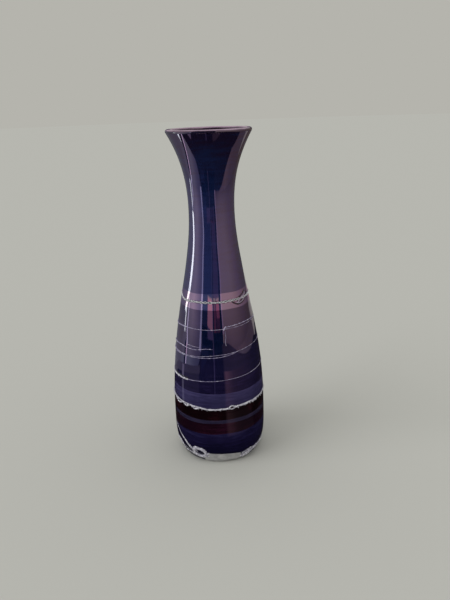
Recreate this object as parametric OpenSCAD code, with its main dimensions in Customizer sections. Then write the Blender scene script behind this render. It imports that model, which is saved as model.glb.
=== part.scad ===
// Bottle-shaped art glass vase: an opal liner cased with bands of coloured glass,
// dressed with laid-on glass trails, closed by a solid foot and finished with a lip wrap.
// Millimetres. +Z is up, the origin is the centre of the face that it stands on,
// and -Y is the front. Azimuths are in degrees from the front, growing towards +X.

/* [Outline] */
// Overall height, from the resting face to the top of the lip
height = 300; // [260:5:360]
// Diameter over the lip
mouth_d = 72.6; // [56:0.2:90]
// Diameter of the narrowest part of the neck
neck_d = 40; // [32:0.5:50]
// Largest diameter of the body, without trails
belly_d = 86.2; // [70:0.2:110]
// Diameter at the foot, before its edge is rounded
foot_d = 72.4; // [58:0.2:86]
// Height of the largest diameter above the resting face
belly_h = 34.5; // [26:0.5:44]
// Height of the flare, from the narrowest point up to the top of the lip
flare_h = 67; // [50:1:84]
// How late the body starts to narrow: 1 is an even curve
taper_power = 1.28; // [1:0.02:1.6]
// How late the flare opens: 1 is a straight cone
flare_power = 2.3; // [1.6:0.05:3]
// Radius of the rounded edge round the resting face
heel_round = 2.5; // [1:0.5:4]

/* [Walls] */
// Thickness of the coloured overlay
overlay_t = 1.6; // [1:0.1:2.4]
// Thickness of the opal liner
liner_t = 1.4; // [1:0.1:2.4]
// Thickness of the liner's floor
floor_t = 3.5; // [2:0.5:8]
// Radius of the rounded corner between the inner wall and the floor
bowl_round = 10; // [4:1:16]
// How far the lip wrap overhangs the wall, inside and outside
wrap_overhang = 0.3; // [0.1:0.1:0.8]

/* [Foot] */
// Height of the opal foot
foot_h = 11.5; // [8:0.5:16]
// Height of the bare strip of foot below the cobalt skirt
skirt_gap = 2.5; // [1.5:0.5:4]
// Azimuth of the left edge of the window in the skirt
window_left = -19; // [-26:1:-8]
// Azimuth of the right edge of the window in the skirt
window_right = 27; // [10:1:40]
// Diameter of the ground and polished dimple under the foot
pontil_d = 26; // [16:1:36]
// Depth of that dimple
pontil_depth = 1.2; // [0.5:0.1:2]

/* [Bands, from the foot up] */
// Height of the cobalt band
cobalt_h = 22; // [18:0.5:28]
// Height of the lower oxblood band
lower_oxblood_h = 10.8; // [6:0.2:15]
// Height of the slate band
slate_h = 3.7; // [2:0.1:6]
// Height of the upper oxblood band
upper_oxblood_h = 12.3; // [8:0.1:16]
// Height of the lavender band
lavender_h = 13.7; // [9:0.1:18]
// Height of the indigo band at the front
indigo_h = 12.4; // [9:0.1:16]
// Height of the smoke band at the front
smoke_h = 23.4; // [18:0.1:28]
// Height of the plum band at the front
plum_h = 39.6; // [33:0.1:46]
// Height of the rose band
rose_h = 14; // [11:0.1:18]

/* [Trails] */
// Width of the fine trails
fine_w = 1.2; // [0.8:0.1:1.6]
// How far the fine trails stand out of the wall
fine_rise = 0.4; // [0.2:0.05:0.6]
// Width of the silvered trail and its curl
silver_w = 2; // [1.4:0.1:2.6]
// How far the silvered trail and its curl stand out of the wall
silver_rise = 0.7; // [0.4:0.1:1]
// Width of the white rope trail
rope_w = 3.2; // [2:0.1:4.4]
// How far the rope trail stands out of the wall
rope_rise = 1.2; // [0.6:0.1:1.6]
// Width of the white trail round the foot, its curl and its strand
foot_trail_w = 3.6; // [2.6:0.1:4.4]
// How far they stand out of the wall
foot_trail_rise = 1.1; // [0.6:0.1:1.4]
// Climb of the smoke-plum seam and its trails, from the front to the right
middle_climb = 3.4; // [0:0.2:6]
// Climb of the indigo-smoke seam and its trail, from the front to the right
lower_climb = 2.8; // [0:0.2:5]
// Height of the silvered trail above the bottom of the rose band
silver_up = 6.4; // [5:0.1:8]
// Height of the upper trail above the smoke-plum seam
upper_up = 22.5; // [14:0.5:28]
// Height of the middle strand above the smoke-plum seam
strand_up = 4.8; // [3:0.1:8]
// Distance between a trail and the turn that laps beside it
lap_gap = 2; // [1.8:0.1:3]
// Height of the foot trail above the resting face
foot_trail_up = 7; // [5:0.2:8]
// Depth to which every trail is bedded in the wall
trail_bed = 0.7; // [0.3:0.1:1.2]

/* [Curls] */
// Azimuth of the right end of the curl on the rose band
silver_curl_to = 60; // [46:1:80]
// Length of that curl round the wall, in degrees
silver_curl_span = 18; // [10:1:30]
// Height of that curl, between the middles of its strands
silver_curl_h = 5.2; // [4:0.2:7]
// Azimuth of the curl at the foot
foot_curl_az = -30; // [-40:1:-28]
// Diameter of the curl at the foot, to the middle of its strand
foot_curl_d = 8.8; // [8:0.2:11]
// Height of the middle of the curl at the foot
foot_curl_up = 11.6; // [10:0.2:14]
// Where the foot strand leaves the curl: degrees above the level of the curl's middle
foot_strand_join = 30; // [0:5:45]
// Length of the foot strand
foot_strand_l = 30; // [16:1:34]
// Slope of the foot strand, in degrees
foot_strand_slope = 31; // [20:1:40]

/* [Hidden] */

ring_step = 4;   // height between the rings of the outline
far = 400;       // larger than the vase in every direction
front = -90;     // turn that brings azimuth 0 from +X to the front

// Where each trail's arc starts and ends, as azimuths.
upper_lap_arc = [12, 78];
middle_lap_arc = [-82, 16];
middle_strand_arc = [-84, -8];

// Heights of the seams between bands, added up from the foot.
cobalt_top = foot_h + cobalt_h;
lower_oxblood_top = cobalt_top + lower_oxblood_h;
slate_top = lower_oxblood_top + slate_h;
upper_oxblood_top = slate_top + upper_oxblood_h;
lavender_top = upper_oxblood_top + lavender_h;
indigo_top = lavender_top + indigo_h;
smoke_top = indigo_top + smoke_h;
plum_top = smoke_top + plum_h;
rose_top = plum_top + rose_h;

// The wall, and the round lip wrap that sits on its flat top.
wall_t = overlay_t + liner_t;
wrap_d = wall_t + 2 * wrap_overhang;
wrap_sink = (wrap_d - sqrt(wrap_d * wrap_d - wall_t * wall_t)) / 2;
rim_seat = height - wrap_d + wrap_sink;
neck_h = height - flare_h;
floor_top = foot_h + floor_t;

// The silvered trail runs round the back, from the right end of its curl to the left end.
silver_z = plum_top + silver_up;
silver_curl_from = silver_curl_to - silver_curl_span;
silver_bend = asin(silver_curl_h / 2 / outer_radius(silver_z));
silver_trail_arc = [silver_curl_to + silver_bend, 360 + silver_curl_from - silver_bend];
// The foot trail starts on the bare glass of the window, and runs round the back to its curl.
foot_trail_lead = 2;
foot_curl_half = asin(foot_curl_d / 2 / outer_radius(foot_curl_up));
foot_trail_arc = [window_right - foot_trail_lead, 360 + foot_curl_az - foot_curl_half / 2];
// The foot strand climbs away to the left from a point on its curl.
strand_start_up = foot_curl_up + foot_curl_d / 2 * sin(foot_strand_join);
strand_start_az = foot_curl_az
    - asin(foot_curl_d / 2 * cos(foot_strand_join) / outer_radius(foot_curl_up));
strand_up_mid = strand_start_up + foot_strand_l / 2 * sin(foot_strand_slope);
strand_az_mid = strand_start_az
    - foot_strand_l / 2 * cos(foot_strand_slope) / outer_radius(strand_up_mid) * 180 / PI;

// ---- Outline ---------------------------------------------------------------

function smoothstep(t) = t * t * (3 - 2 * t);
// Inward step of a quarter-round of radius r, at height h above its start.
function round_step(r, h) = h >= r ? 0 : r - sqrt(r * r - (r - h) * (r - h));

// Outer radius at height z: a rounded heel, a long taper and a flare.
function heel_radius(z) =
    belly_d / 2 - (belly_d - foot_d) / 2 * pow(1 - z / belly_h, 3) - round_step(heel_round, z);
function taper_radius(z) =
    belly_d / 2 - (belly_d - neck_d) / 2
        * smoothstep(pow((z - belly_h) / (neck_h - belly_h), taper_power));
function flare_radius(z) =
    neck_d / 2 + (mouth_d / 2 - wrap_overhang - neck_d / 2)
        * pow((z - neck_h) / (rim_seat - neck_h), flare_power);
function outer_radius(z) =
    z < belly_h ? heel_radius(max(0, z)) : z < neck_h ? taper_radius(z) : flare_radius(z);

// Outward lean of the wall at height z, in degrees from upright.
function wall_lean(z) = atan((outer_radius(z + 1) - outer_radius(z - 1)) / 2);

// Heights that every outline shares, so that touching walls have the same faces.
function rings(low, high) =
    [for (k = [1 : floor(height / ring_step)])
        if (k * ring_step > low + 0.5 && k * ring_step < high - 0.5) k * ring_step];
heel_rings = [for (k = [0 : 6]) heel_round * (1 - cos(15 * k))];
bowl_rings = [for (k = [0 : 8]) floor_top + bowl_round * (1 - cos(11.25 * k))];

outer_line = [for (z = concat(heel_rings, rings(heel_round, rim_seat), [rim_seat]))
    [outer_radius(z), z]];
seam_line = [for (z = concat([foot_h], rings(foot_h, rim_seat), [rim_seat]))
    [outer_radius(z) - overlay_t, z]];
bore_line = [for (z = concat(bowl_rings, rings(floor_top + bowl_round, rim_seat), [rim_seat]))
    [outer_radius(z) - wall_t - round_step(bowl_round, z - floor_top), z]];

function reversed(points) = [for (k = [len(points) - 1 : -1 : 0]) points[k]];

// ---- Walls -----------------------------------------------------------------

// The coloured overlay as one solid, from the foot to the rim.
module overlay_shell() {
    rotate_extrude($fn = 96)
        polygon(concat([[outer_radius(foot_h), foot_h]],
            [for (p = outer_line) if (p[1] > foot_h + 0.5) p], reversed(seam_line)));
}

// Everything below a plane that crosses the axis at height z and climbs towards +X.
module below(z, climb) {
    translate([0, 0, z])
        rotate([0, -atan(climb / outer_radius(z)), 0])
            translate([-far / 2, -far / 2, -far])
                cube(far);
}

// One band of the overlay. Each seam is given as [height, climb].
module band(low, high) {
    difference() {
        intersection() {
            overlay_shell();
            below(high[0], high[1]);
        }
        below(low[0], low[1]);
    }
}

// Wedge round the axis, between two azimuths.
module wedge(from, to) {
    linear_extrude(height = far, center = true)
        polygon(concat([[0, 0]],
            [for (k = [0 : 4])
                let (az = from + (to - from) * k / 4)
                [far * sin(az), -far * cos(az)]]));
}

// The cobalt glass that hangs over the foot, with a window at the front.
module skirt() {
    difference() {
        rotate_extrude($fn = 96)
            polygon([[outer_radius(skirt_gap), skirt_gap],
                [outer_radius(ring_step), ring_step],
                [outer_radius(2 * ring_step), 2 * ring_step],
                [outer_radius(foot_h), foot_h],
                [outer_radius(foot_h) - overlay_t, foot_h],
                [outer_radius(skirt_gap) - overlay_t, skirt_gap]]);
        wedge(window_left, window_right);
    }
}

// ---- Trails ----------------------------------------------------------------

// Section of a trail: a round rod with a flat back. The wall lies at x = w / 2 - rise.
module rod_section(w, rise) {
    back = w / 2 - rise - trail_bed;
    difference() {
        circle(d = w, $fn = 24);
        translate([back - w, -w])
            square([w, 2 * w]);
    }
}

// Trail all round the wall, in a plane that climbs towards +X. The wall narrows as
// the plane climbs, so a climbing ring is set a little to one side.
module ring(z, w, rise, climb = 0) {
    sink = rise - w / 2;
    right = outer_radius(z + climb) + sink;
    left = outer_radius(z - climb) + sink;
    tilt = atan(climb / outer_radius(z));
    middle = (right - left) / 2;
    translate([middle, 0, z + middle * tan(tilt)])
        rotate([0, -tilt, 0])
            rotate_extrude($fn = 96)
                translate([(right + left) / 4 * (1 + 1 / cos(tilt)), 0])
                    rotate(wall_lean(z) * -1)
                        rod_section(w, rise);
}

// The part of such a trail between two azimuths.
module arc(z, w, rise, from, to, climb = 0) {
    intersection() {
        ring(z, w, rise, climb);
        wedge(from, to);
    }
}

// Places its children on the wall: X out of the wall, Y round it and Z up it.
module on_wall(az, z, lean) {
    rotate([0, 0, az + front])
        translate([outer_radius(z), 0, z])
            rotate([0, lean, 0])
                children();
}

// Rod bent round the wall's normal, starting from straight down and turning through an angle.
module bent_rod(d, w, rise, angle = 360) {
    translate([rise - w / 2, 0, 0])
        rotate([0, 90, 0])
            rotate_extrude(angle = angle, $fn = 48)
                translate([d / 2, 0])
                    rotate(90)
                        rod_section(w, rise);
}

module silver_curl_rod() {
    // Strands above and below, joined at both ends by half a turn.
    half = silver_curl_h / 2;
    for (side = [-1, 1])
        arc(silver_z + side * half, silver_w, silver_rise, silver_curl_from, silver_curl_to);
    lean = atan((outer_radius(silver_z + half) - outer_radius(silver_z - half)) / silver_curl_h);
    for (end = [[silver_curl_from, 180], [silver_curl_to, 0]])
        on_wall(end[0], silver_z, lean)
            rotate([end[1], 0, 0])
                bent_rod(silver_curl_h / cos(lean), silver_w, silver_rise, 180);
}

module foot_curl_rod() {
    on_wall(foot_curl_az, foot_curl_up, wall_lean(foot_curl_up))
        bent_rod(foot_curl_d, foot_trail_w, foot_trail_rise);
}

// Rod that climbs the wall to the left of the curl, along the curve of a slanting belt.
module foot_strand_rod() {
    sink = foot_trail_rise - foot_trail_w / 2;
    bend = (outer_radius(strand_up_mid) + sink) / pow(cos(foot_strand_slope), 2);
    half = foot_strand_l / 2 / bend * 180 / PI;
    on_wall(strand_az_mid, strand_up_mid, wall_lean(strand_up_mid))
        rotate([-foot_strand_slope, 0, 0])
            translate([sink - bend, 0, 0])
                rotate([0, 0, -half])
                    rotate_extrude(angle = 2 * half, $fn = 96)
                        translate([bend, 0])
                            rod_section(foot_trail_w, foot_trail_rise);
}

module foot_trail_rod() {
    arc(foot_trail_up, foot_trail_w, foot_trail_rise, foot_trail_arc[0], foot_trail_arc[1]);
}
module silver_trail_rod() {
    arc(silver_z, silver_w, silver_rise, silver_trail_arc[0], silver_trail_arc[1]);
}
module rope_rod() {
    ring(upper_oxblood_top, rope_w, rope_rise);
}
module lower_rod() {
    ring(indigo_top, fine_w, fine_rise, lower_climb);
}
module middle_rod() {
    ring(smoke_top, fine_w, fine_rise, middle_climb);
}
module middle_lap_rod() {
    arc(smoke_top - lap_gap, fine_w, fine_rise, middle_lap_arc[0], middle_lap_arc[1], middle_climb);
}
module middle_strand_rod() {
    arc(smoke_top + strand_up, fine_w, fine_rise, middle_strand_arc[0], middle_strand_arc[1]);
}
module upper_rod() {
    ring(smoke_top + upper_up, fine_w, fine_rise);
}
module upper_lap_rod() {
    arc(smoke_top + upper_up + lap_gap, fine_w, fine_rise, upper_lap_arc[0], upper_lap_arc[1]);
}

// ---- Nodes: the vessel -----------------------------------------------------

module liner() {
    color("#d9d3c6")
        rotate_extrude($fn = 96)
            polygon(concat([[0, foot_h]], seam_line, reversed(bore_line), [[0, floor_top]]));
}

module foot_pad() {
    color("#cfc8ba")
        difference() {
            difference() {
                rotate_extrude($fn = 96)
                    polygon(concat([[0, 0]], [for (p = outer_line) if (p[1] < foot_h) p],
                        [[outer_radius(foot_h), foot_h], [0, foot_h]]));
                skirt();
            }
            foot_trail_rod();
            foot_curl_rod();
            pontil_dimple();
        }
}

// Shallow dimple, ground and polished where the punty was broken off.
module pontil_dimple() {
    sphere_r = (pow(pontil_d / 2, 2) + pow(pontil_depth, 2)) / (2 * pontil_depth);
    translate([0, 0, pontil_depth - sphere_r])
        sphere(sphere_r, $fn = 96);
}

module cobalt_band() {
    color("#1f1c46")
        difference() {
            union() {
                band([foot_h, 0], [cobalt_top, 0]);
                skirt();
            }
            foot_trail_rod();
            foot_curl_rod();
            foot_strand_rod();
        }
}

module lower_oxblood_band() {
    color("#2c0812")
        band([cobalt_top, 0], [lower_oxblood_top, 0]);
}

module slate_band() {
    color("#302e4a")
        band([lower_oxblood_top, 0], [slate_top, 0]);
}

module upper_oxblood_band() {
    color("#26060c")
        difference() {
            band([slate_top, 0], [upper_oxblood_top, 0]);
            rope_rod();
        }
}

module lavender_band() {
    color("#443c64")
        difference() {
            band([upper_oxblood_top, 0], [lavender_top, 0]);
            rope_rod();
        }
}

module indigo_band() {
    color("#1b1644")
        difference() {
            band([lavender_top, 0], [indigo_top, lower_climb]);
            lower_rod();
        }
}

module smoke_band() {
    color("#2c2440")
        difference() {
            band([indigo_top, lower_climb], [smoke_top, middle_climb]);
            lower_rod();
            middle_rod();
            middle_lap_rod();
        }
}

module plum_band() {
    color("#4a3852")
        difference() {
            band([smoke_top, middle_climb], [plum_top, 0]);
            middle_rod();
            middle_strand_rod();
            upper_rod();
            upper_lap_rod();
        }
}

module rose_band() {
    color("#8c6e82")
        difference() {
            band([plum_top, 0], [rose_top, 0]);
            silver_trail_rod();
            silver_curl_rod();
        }
}

module neck_overlay() {
    color("#3a2f52")
        band([rose_top, 0], [height, 0]);
}

// Round bead on the rim: its flat seat is exactly as wide as the wall.
module lip_wrap() {
    color("#6b5672")
        difference() {
            rotate_extrude($fn = 96)
                translate([outer_radius(rim_seat) - wall_t / 2, height - wrap_d / 2])
                    circle(d = wrap_d, $fn = 32);
            translate([0, 0, rim_seat - wrap_d])
                cylinder(h = wrap_d, r = mouth_d);
        }
}

// ---- Nodes: the trails -----------------------------------------------------

module silver_trail() {
    color("#bebec8")
        difference() {
            silver_trail_rod();
            silver_curl_rod();
        }
}

module silver_curl() {
    color("#a8a2b4")
        silver_curl_rod();
}

module upper_trail() {
    color("#9a93a8")
        upper_rod();
}

module upper_trail_lap() {
    color("#a39cb0")
        upper_lap_rod();
}

module middle_trail() {
    color("#8f88a0")
        middle_rod();
}

module middle_trail_lap() {
    color("#8f88a0")
        middle_lap_rod();
}

module middle_strand() {
    color("#9a93a8")
        middle_strand_rod();
}

module lower_trail() {
    color("#a9a4b6")
        lower_rod();
}

module rope_trail() {
    color("#cfcbe0")
        rope_rod();
}

module foot_trail() {
    color("#d6d4e2")
        difference() {
            foot_trail_rod();
            foot_curl_rod();
        }
}

module foot_curl() {
    color("#dcdae8")
        foot_curl_rod();
}

module foot_strand() {
    color("#d6d4e2")
        difference() {
            foot_strand_rod();
            foot_curl_rod();
        }
}

liner();
foot_pad();
cobalt_band();
lower_oxblood_band();
slate_band();
upper_oxblood_band();
lavender_band();
indigo_band();
smoke_band();
plum_band();
rose_band();
neck_overlay();
lip_wrap();
silver_trail();
silver_curl();
upper_trail();
upper_trail_lap();
middle_trail();
middle_trail_lap();
middle_strand();
lower_trail();
rope_trail();
foot_trail();
foot_curl();
foot_strand();
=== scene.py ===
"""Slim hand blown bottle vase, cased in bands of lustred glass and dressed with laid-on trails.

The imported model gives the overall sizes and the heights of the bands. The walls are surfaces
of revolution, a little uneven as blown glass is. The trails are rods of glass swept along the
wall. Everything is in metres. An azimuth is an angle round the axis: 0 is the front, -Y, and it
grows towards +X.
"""

import logging
import math
from dataclasses import dataclass, field
from enum import Enum
from typing import Any, Callable, Optional, Sequence, Union

import bpy
import numpy as np
from mathutils import Matrix, Vector


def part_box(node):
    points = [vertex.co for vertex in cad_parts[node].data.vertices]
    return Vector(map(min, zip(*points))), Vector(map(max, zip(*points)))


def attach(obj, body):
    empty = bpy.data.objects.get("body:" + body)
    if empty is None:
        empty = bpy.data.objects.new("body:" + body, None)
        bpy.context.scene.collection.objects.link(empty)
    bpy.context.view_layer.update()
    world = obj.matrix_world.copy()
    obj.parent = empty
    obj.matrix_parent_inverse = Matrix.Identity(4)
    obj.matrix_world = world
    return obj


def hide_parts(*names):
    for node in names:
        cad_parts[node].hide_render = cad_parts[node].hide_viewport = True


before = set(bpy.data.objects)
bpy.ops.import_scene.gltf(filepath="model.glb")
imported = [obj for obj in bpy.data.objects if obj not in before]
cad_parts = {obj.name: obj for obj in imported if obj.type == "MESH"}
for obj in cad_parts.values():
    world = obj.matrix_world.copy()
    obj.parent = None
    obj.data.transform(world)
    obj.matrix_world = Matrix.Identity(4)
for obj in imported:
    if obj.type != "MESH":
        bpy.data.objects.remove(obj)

log = logging.getLogger("vase")

Array = np.ndarray
Numbers = Union[float, Array]
Height = Callable[[Array], Array]
Edge = Union[float, Height]
Surface = tuple[Array, list[Array]]
Knots = Sequence[tuple[float, float]]
Stops = Sequence[tuple[float, str]]
Tone = Union[str, Stops]

MM = 0.001
FULL_TURN = 2 * np.pi
BODY = "root"
ROUND_STEPS = 288  # columns round a wall
WALL_SHARP_DEG = 40  # edges of the vessel that bend more than this show as edges
TRAIL_SHARP_DEG = 80  # the same for the trails, which fire has melted soft
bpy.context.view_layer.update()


# ---- Colour and nodes --------------------------------------------------------


def linear(hex_colour: str) -> tuple[float, float, float, float]:
    """Turns an sRGB hex colour into linear RGBA.

    Args:
        hex_colour: A colour such as "#1b1644".

    Returns:
        Linear red, green, blue and an alpha of 1.
    """
    values = []
    for start in (1, 3, 5):
        value = int(hex_colour[start:start + 2], 16) / 255
        values.append(value / 12.92 if value <= 0.04045 else ((value + 0.055) / 1.055) ** 2.4)
    return values[0], values[1], values[2], 1.0


def empty_tree(owner: Any) -> Any:
    """Gives a new material or world a node tree without nodes, and returns the tree."""
    owner.use_nodes = True
    owner.node_tree.nodes.clear()
    return owner.node_tree


def add_node(tree: Any, kind: str, settings: Optional[dict] = None,
             links: Optional[dict] = None) -> Any:
    """Adds a node with its settings, its constant inputs and its links.

    Args:
        tree: The node tree.
        kind: The node's type, such as "ShaderNodeTexNoise".
        settings: Properties by attribute name, and input values by socket name or number.
        links: Output sockets by the name or number of the input that each feeds.

    Returns:
        The new node.
    """
    node = tree.nodes.new(kind)
    for key, value in (settings or {}).items():
        if isinstance(key, str) and hasattr(node, key):
            setattr(node, key, value)
        else:
            node.inputs[key].default_value = value
    for key, socket in (links or {}).items():
        tree.links.new(socket, node.inputs[key])
    return node


def set_ramp(node: Any, stops: Stops) -> None:
    """Sets a colour ramp's stops.

    Args:
        node: A ShaderNodeValToRGB.
        stops: Position and sRGB hex colour of each stop, in order.
    """
    elements = node.color_ramp.elements
    while len(elements) < len(stops):
        elements.new(0.5)
    for element, (position, colour) in zip(elements, stops):
        element.position = position
        element.color = linear(colour)


# ---- Lines and meshes --------------------------------------------------------


def around(r: Numbers, azimuth: Array, z: Numbers) -> Array:
    """Points at radii, azimuths in radians and heights: x is r sin a, and y is -r cos a."""
    return np.stack(np.broadcast_arrays(r * np.sin(azimuth), -r * np.cos(azimuth), z), -1)


def turned(azimuth: Array, centre_deg: float = 0.0) -> Array:
    """Azimuths counted from a centre, in radians, each within half a turn of it."""
    return (azimuth - math.radians(centre_deg) + np.pi) % FULL_TURN - np.pi


def bell(azimuth: Array, centre_deg: float, spread_deg: float) -> Array:
    """A bell curve round the axis: 1 at an azimuth, falling away on both sides."""
    return np.exp(-(turned(azimuth, centre_deg) / math.radians(spread_deg)) ** 2)


def graded(*stops: tuple[float, float]) -> Height:
    """A value that runs straight between its values at some azimuths, all in degrees."""
    degrees, values = zip(*stops)
    return lambda places: np.interp(places, degrees, values)


def ripple(places: Array, seed: int, low: int, high: int, closed: bool = True) -> Array:
    """Smooth repeatable unevenness along a line, between about -1 and 1.

    A sum of up to nine sines, from `low` to `high` waves over the whole line, each with a
    seeded phase and a height that falls with its number.

    Args:
        places: Places along the line, from 0 to 1.
        seed: Chooses the phases.
        low: Waves of the longest sine.
        high: Waves of the shortest sine.
        closed: Whether the line closes on itself. An open line may take part waves.

    Returns:
        One value for each place.
    """
    rng = np.random.default_rng(seed)
    counts = np.unique(np.round(np.geomspace(low, high, 9))).astype(float)
    if not closed:
        counts = counts + rng.uniform(-0.3, 0.3, len(counts))
    phases = rng.uniform(0, FULL_TURN, len(counts))
    weights = (low / counts) ** 0.45 * rng.uniform(0.6, 1.0, len(counts))
    waves = np.sin(FULL_TURN * np.multiply.outer(places, counts) + phases)
    return waves @ weights / np.sqrt((weights ** 2).sum() * 1.2)


def curve_through(knots: Knots, count: int) -> Array:
    """Carries a smooth curve through a few knots: a Catmull-Rom curve, evenly spaced in length.

    Args:
        knots: Azimuth in degrees and height in millimetres of each knot.
        count: How many points to return.

    Returns:
        An array of (count, 2) azimuths in degrees and heights in millimetres.
    """
    mm_per_degree = 0.65
    points = np.asarray(knots, float)
    padded = np.vstack([2 * points[0] - points[1], points, 2 * points[-1] - points[-2]])
    t = np.linspace(0, len(points) - 1, 40 * len(points))
    k = np.minimum(t.astype(int), len(points) - 2)
    u = (t - k)[:, None]
    a, b, c, d = (padded[k + shift] for shift in range(4))
    fine = 0.5 * (2 * b + (c - a) * u + (2 * a - 5 * b + 4 * c - d) * u ** 2
                  + (3 * b - a - 3 * c + d) * u ** 3)
    steps = np.hypot(*(np.diff(fine, axis=0) * (mm_per_degree, 1.0)).T)
    length = np.concatenate([[0], np.cumsum(steps)])
    places = np.linspace(0, length[-1], count)
    return np.stack([np.interp(places, length, fine[:, k]) for k in (0, 1)], 1)


def grid_faces(rows: int, columns: int, wrap_rows: bool, wrap_columns: bool) -> Array:
    """Quads of a grid whose vertex number is row * columns + column.

    Args:
        rows: Rows of vertices.
        columns: Columns of vertices.
        wrap_rows: Whether the last row joins the first.
        wrap_columns: Whether the last column joins the first.

    Returns:
        An array of (quads, 4) vertex numbers.
    """
    i = np.arange(rows if wrap_rows else rows - 1)[:, None]
    j = np.arange(columns if wrap_columns else columns - 1)[None, :]
    down, right = (i + 1) % rows, (j + 1) % columns
    corners = [i * columns + j, i * columns + right, down * columns + right, down * columns + j]
    return np.stack(corners, -1).reshape(-1, 4)


def ringed(grid: Array) -> Surface:
    """A grid that closes on itself both ways: a ring with a closed section."""
    rows, columns = grid.shape[:2]
    return grid.reshape(-1, 3), [grid_faces(rows, columns, True, True)]


def capped(grid: Array) -> Surface:
    """Closes a tube at both ends with a fan of triangles round a middle point.

    Args:
        grid: Points, (rows along the tube, columns round it, 3).

    Returns:
        The vertices and the face arrays of a closed surface.
    """
    rows, columns = grid.shape[:2]
    tips = np.stack([grid[0].mean(0), grid[-1].mean(0)])
    here = np.arange(columns)
    after = (here + 1) % columns
    first, base = rows * columns, (rows - 1) * columns
    start = np.stack([np.full(columns, first), after, here], 1)
    end = np.stack([np.full(columns, first + 1), base + here, base + after], 1)
    return (np.vstack([grid.reshape(-1, 3), tips]),
            [grid_faces(rows, columns, False, True), start, end])


def outwards(surface: Surface) -> Surface:
    """Turns a closed surface's faces outwards, by the sign of the volume that they enclose.

    Args:
        surface: Vertices, and arrays of quads or triangles.

    Returns:
        The same surface, its faces reversed where that volume was negative.
    """
    points, faces = surface
    volume = 0.0
    for block in faces:
        corner = points[block]
        for k in range(1, block.shape[1] - 1):
            volume += np.einsum("ij,ij->", corner[:, 0],
                                np.cross(corner[:, k], corner[:, k + 1]))
    return points, [block[:, ::-1] if volume < 0 else block for block in faces]


def new_object(name: str, points: Array, faces: list[list[int]]) -> Any:
    """Makes a mesh object of the given points and faces, links it and returns it."""
    mesh = bpy.data.meshes.new(name)
    mesh.from_pydata(points.tolist(), [], faces)
    mesh.update()
    thing = bpy.data.objects.new(name, mesh)
    bpy.context.scene.collection.objects.link(thing)
    return thing


def new_piece(name: str, surfaces: Sequence[Surface], sharp_deg: float) -> Any:
    """Makes one smooth mesh object of one or more closed surfaces.

    Args:
        name: The object's name.
        surfaces: Vertices and faces of each closed surface.
        sharp_deg: Edges that bend by more than this many degrees are shaded as sharp.

    Returns:
        The new object.
    """
    points: list[Array] = []
    faces: list[list[int]] = []
    for surface in surfaces:
        vertices, blocks = outwards(surface)
        first = sum(map(len, points))
        points.append(vertices)
        faces += [face for block in blocks for face in (block + first).tolist()]
    piece = new_object(name, np.vstack(points), faces)
    piece.data.shade_smooth()
    piece.data.set_sharp_from_angle(angle=math.radians(sharp_deg))
    return piece


# ---- The shape of the vessel -------------------------------------------------


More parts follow.
